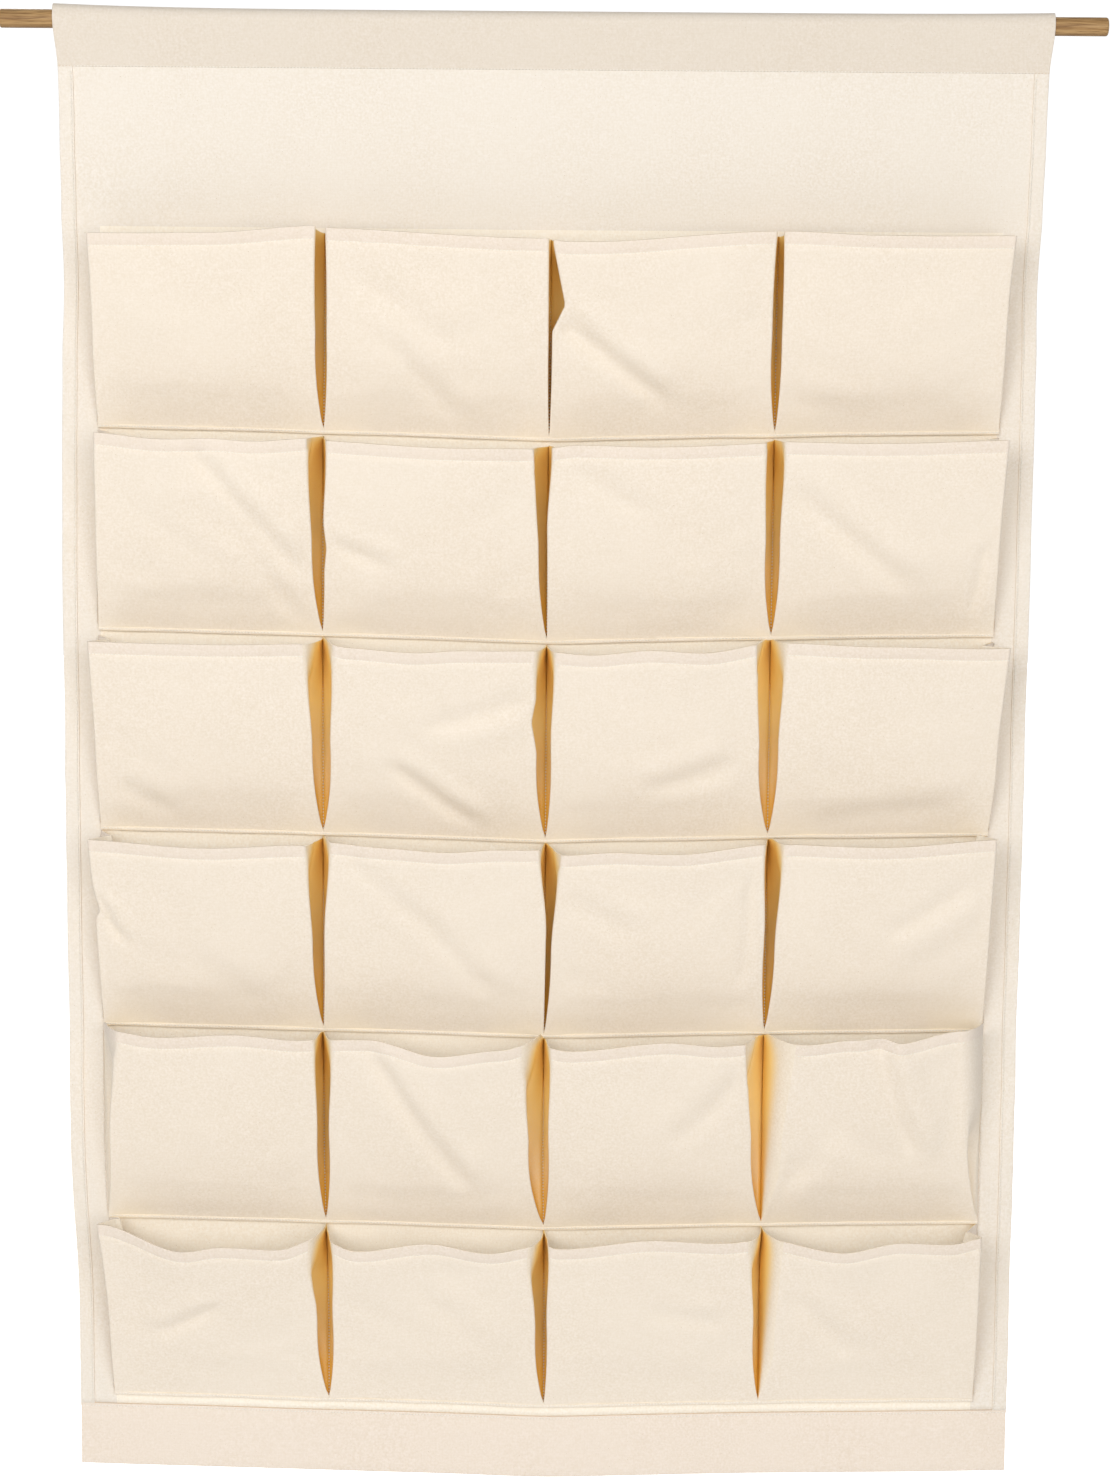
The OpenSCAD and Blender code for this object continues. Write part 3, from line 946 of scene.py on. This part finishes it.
def front_shape(place, across, h, x, edge_y):
    """The y of a front's points: crowned, draped and creased between its two edges."""
    seed = 100 + place.row * 10 + place.column
    up = h[:, None] / place.height + 0 * across
    side = np.abs(across * 2 - 1)
    away = smooth((1 - side) / 0.35)
    belly = (0.3 + 0.6 * ripples(np.array([seed * 1.0]), np.zeros(1), 3.0, seed=7)[0]) * MM
    round_out = 1 - np.exp(-np.maximum(up * place.height - 2.4 * MM, 0) / (14 * MM))
    crown = away * (belly * round_out * (1 - 0.55 * up) + 1.0 * MM * up ** 3)
    tucked = 0.7 * MM * away * (1 - smooth(up / 0.25))
    size = np.array([2 * place.half, place.height])
    dents = sum((dent(across, up, size, *crease) for crease in CREASES.get(place.key, [])), 0 * up)
    loose = smooth((1 - side) / 0.12) * smooth((up - 0.03) / 0.12)
    drape = 1.2 * MM * ripples(x, h[:, None], 0.10, seed=seed)
    drape = drape + 0.35 * MM * ripples(x, h[:, None], 0.04, seed=seed + 1)
    hem_groove = 0.9 * MM * np.exp(-((h[:, None] - (place.height - MOUTH_HEM)) / (1.2 * MM)) ** 2)
    return edge_y[:, None] - crown + tucked + (drape - dents) * loose + hem_groove


def pocket_grid(place):
    """The middle surface of a pocket's sheet, which columns belong to the front, and row heights."""
    left = GAPS[place.row - 1][place.column - 1][1]
    right = GAPS[place.row - 1][place.column][0]
    h = pocket_heights(place.height)
    t = h / place.height
    lean = place.depth * t * (0.94 + 0.06 * t)
    line_y = np.full_like(t, PANEL_FRONT - CLOTH / 2 - 0.15 * MM)
    edge_y = PANEL_FRONT - 3.1 * MM - 0.94 * lean
    left_x, left_y = pleat_points(t, left, edge_y, line_y)
    right_x, right_y = pleat_points(t, right, edge_y, line_y)
    left_x = place.x - place.half + left_x
    right_x = place.x + place.half - right_x
    inner = joined(spaced(0, 1, 1 / FRONT_CELLS), 0.008, 0.992)[1:-1]
    front_x = left_x[:, -1:] + (right_x[:, -1:] - left_x[:, -1:]) * inner
    front_y = front_shape(place, inner[None, :], h, front_x, edge_y)
    x = np.concatenate([left_x, front_x, right_x[:, ::-1]], axis=1)
    y = np.concatenate([left_y, front_y, right_y[:, ::-1]], axis=1)

    rise = lip_rise(LIPS[place.key], np.clip((x - place.x) / (2 * place.half) + 0.5, 0, 1))
    out = smooth((line_y[:, None] - y) / (0.6 * place.depth))
    rise = np.minimum(rise, rise * out + 2 * MM)
    z = place.seam + h[:, None] + rise * smooth((t[:, None] - 0.35) / 0.65)
    y = y + 0.2 * np.minimum(rise, 0) * smooth((t[:, None] - 0.3) / 0.7)
    fronts = np.zeros(x.shape[1], bool)
    fronts[left_x.shape[1] - TURN_POINTS // 2: x.shape[1] - right_x.shape[1] + TURN_POINTS // 2] = True
    return hang(x, y, z), fronts, h


SETTLE_FRAMES = 14
SETTLE_STEP = 9 * MM                  # distance between the rows of the simulated grid
SETTLE_SHARE = 0.4                    # stiff canvas goes only this far towards where loose cloth would


def evenly(values, step):
    """Places in a rising list whose values are about step apart, with both ends."""
    return np.unique(np.searchsorted(values, spaced(values[0], values[-1], step) - 0.01 * MM))


def settle(sheets):
    """Lets the fronts hang as real cloth. They are held at the base seams and the pleats, and have a
    little more cloth than a tight front needs, so that their own weight folds them. A coarser grid
    is simulated, and the points between follow their neighbours."""
    shape, held, parts = Shape(), [], []
    for grid, fronts, h in sheets:
        every = np.flatnonzero(fronts)
        rows, columns = evenly(h, SETTLE_STEP), every[evenly(np.arange(len(every)) * 1.0, 2)]
        part = grid[np.ix_(rows, columns)]
        parts.append((every, rows, columns, part))
        shape.add(part, grid_faces(len(rows), len(columns)))
        side = 1 - np.abs(np.linspace(-1, 1, len(columns)))
        free = smooth(side / 0.3)[None, :] * smooth((h[rows] - 3 * MM) / (45 * MM))[:, None]
        held.append((1 - 0.9 * free).ravel())
    cloth = shape.build("settling_cloth")
    settled = simulate(cloth, np.concatenate(held))
    bpy.data.objects.remove(cloth)
    start = 0
    for (grid, fronts, h), (every, rows, columns, part) in zip(sheets, parts):
        end = start + len(rows) * len(columns)
        moved = SETTLE_SHARE * (settled[start:end].reshape(part.shape) - part)
        start = end
        for k in range(3):
            across = np.stack([np.interp(every, columns, row) for row in moved[:, :, k]])
            grid[:, every, k] += np.stack([np.interp(h, h[rows], column) for column in across.T], axis=1)


def simulate(cloth, held):
    """Where the points of a mesh come to rest as cloth. Held is how firmly each is held in place."""
    group = cloth.vertex_groups.new(name="held")
    for index, weight in enumerate(held.tolist()):
        group.add([index], weight, "REPLACE")
    modifier = cloth.modifiers.new("settling", "CLOTH")
    modifier.point_cache.frame_end = SETTLE_FRAMES
    modifier.settings.quality = 4
    modifier.settings.mass = 0.3
    modifier.settings.bending_stiffness = 0.4
    modifier.settings.tension_stiffness = 25
    modifier.settings.vertex_group_mass = "held"
    modifier.settings.shrink_min = -0.003
    modifier.settings.effector_weights.gravity = 0.22
    scene = bpy.context.scene
    for number in range(1, SETTLE_FRAMES + 1):
        scene.frame_set(number)
    shown = cloth.evaluated_get(bpy.context.evaluated_depsgraph_get())
    points = np.empty(3 * len(shown.data.vertices), np.float32)
    shown.data.vertices.foreach_get("co", points)
    scene.frame_set(1)
    return points.reshape(-1, 3)


def make_pocket(place, grid, fronts, h):
    """One pocket: its pleats, front and mouth hem as one sheet, with the hem's stitches. The slots
    are front, hem, stitches, inside (painted light) and the folds between two pockets (painted shade)."""
    hem_z = place.height - MOUTH_HEM
    in_hem = h > hem_z
    doubled = in_hem[:, None] & fronts[None, :]
    slots = np.tile(in_hem[:-1].astype(int)[:, None], (1, grid.shape[1] - 1))
    left_half = np.arange(grid.shape[1] - 1) < (grid.shape[1] - 1) // 2
    between_pockets = np.where(left_half, place.column > 1, place.column < COLUMNS)
    # The folds between two pockets take the canvas with painted golden shade.
    slots[:, ~fronts[1:] & between_pockets] = 4
    shape = Shape()
    inner = np.where(doubled, 1.3 * MM, CLOTH / 2)
    # The inside faces take the lighter copy of the canvas: painted light.
    outer, normal = shape.thick(grid, inner=inner, slot=slots, back_slot=3)
    hem_row = int(np.argmin(np.abs(h - hem_z)))
    shape.stitches(outer[hem_row][fronts], normal[hem_row][fronts], slot=2)
    materials = (canvas_front, canvas_hem, stitch_thread, canvas_inside, canvas_fold)
    pocket = shape.build(f"pocket_{place.key}_sheet", *materials)
    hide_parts(f"pocket_front_{place.key}", f"pocket_pleats_{place.key}")
    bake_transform(pocket)


def make_pockets():
    """All the pockets. Their fronts settle together, in one simulation."""
    sheets = [pocket_grid(place) for place in places]
    settle(sheets)
    for place, sheet in zip(places, sheets):
        make_pocket(place, *sheet)


# ---------------------------------------------------------------- stage
FLOOR = FOOT_EDGE - 0.75
FLOOR_HALF = 14.0
GLOW = 0.06                           # light from the floor itself, besides what the camera sees
WHITE_SEEN = 1.05                     # brightness of the surroundings for the camera
WHITE_LIGHT = 0.38                    # and as a light on the object


def make_stage():
    """A pale floor that the camera sees as white."""
    side = np.array([-FLOOR_HALF, FLOOR_HALF])
    x, y = np.meshgrid(side, side)
    floor = Shape()
    floor.add(np.stack([x, y, np.full_like(x, FLOOR)], axis=-1), grid_faces(2, 2))
    n = Nodes("floor_white")
    n.shader.inputs["Base Color"].default_value = (0.8, 0.8, 0.8, 1)
    n.shader.inputs["Roughness"].default_value = 0.9
    n.shader.inputs["Specular IOR Level"].default_value = 0.0
    n.shader.inputs["Emission Color"].default_value = (1, 1, 1, 1)
    seen = n.tree.nodes.new("ShaderNodeLightPath").outputs["Is Camera Ray"]
    n.link(n.math("ADD", GLOW, seen), n.shader.inputs["Emission Strength"])
    floor.build("floor", n.material)


def make_light():
    """White surroundings for soft light from everywhere, with softboxes in front and behind."""
    world = bpy.data.worlds.new("studio")
    bpy.context.scene.world = world
    world.use_nodes = True
    tree = world.node_tree
    background = tree.nodes["Background"]
    seen = tree.nodes.new("ShaderNodeLightPath")
    strength = tree.nodes.new("ShaderNodeMapRange")
    strength.inputs["To Min"].default_value = WHITE_LIGHT
    strength.inputs["To Max"].default_value = WHITE_SEEN
    tree.links.new(seen.outputs["Is Camera Ray"], strength.inputs["Value"])
    tree.links.new(strength.outputs["Result"], background.inputs["Strength"])
    background.inputs["Color"].default_value = (1, 1, 1, 1)
    softbox("key_light", at=(-1.4, -3.1, 0.4), size=2.0, watts=46)
    softbox("front_light", at=(1.2, -4.3, 0.2), size=3.0, watts=78)
    softbox("back_light", at=(-1.5, 4.2, 0.8), size=3.0, watts=110)


def softbox(name, at, size, watts):
    """A square lamp that faces the middle of the cloth."""
    light = bpy.data.lights.new(name, "AREA")
    light.shape = "SQUARE"
    light.size = size
    light.energy = watts
    lamp = bpy.data.objects.new(name, light)
    bpy.context.scene.collection.objects.link(lamp)
    lamp.location = at
    aim(lamp, np.array([0, 0, FOOT_EDGE / 2]) - np.array(at))


def aim(thing, direction, roll=0.0):
    """Turns a lamp or camera to look along a direction, then turns it about that line."""
    back = -np.array(direction) / np.linalg.norm(direction)
    right = np.cross([0.0, 0.0, 1.0], back)
    right /= np.linalg.norm(right)
    up = np.cross(back, right)
    c, s = math.cos(roll), math.sin(roll)
    axes = np.stack([right * c + up * s, up * c - right * s, back], axis=1)
    thing.rotation_mode = "QUATERNION"
    thing.rotation_quaternion = Matrix(axes.tolist()).to_quaternion()


def make_camera():
    """About three metres in front of the cloth, level with its upper rows, looking a little down."""
    lens = bpy.data.cameras.new("camera")
    lens.sensor_width = 36
    lens.lens = 75.95
    camera = bpy.data.objects.new("camera", lens)
    bpy.context.scene.collection.objects.link(camera)
    camera.location = (0.0065, -3.09, -0.266)
    pitch = math.radians(8.02)
    aim(camera, (0, math.cos(pitch), -math.sin(pitch)), roll=math.radians(0.45))
    bpy.context.scene.camera = camera


# ---------------------------------------------------------------- everything
make_rod()
make_loop()
make_loop_stitches()
make_panel()
make_hem_stitches()
for first_of_row in places[::COLUMNS]:
    make_strip_base(first_of_row.row, first_of_row.seam)
make_pockets()
make_pocket_stitches()
make_stage()
make_light()
make_camera()
bpy.context.scene.view_settings.view_transform = "Standard"
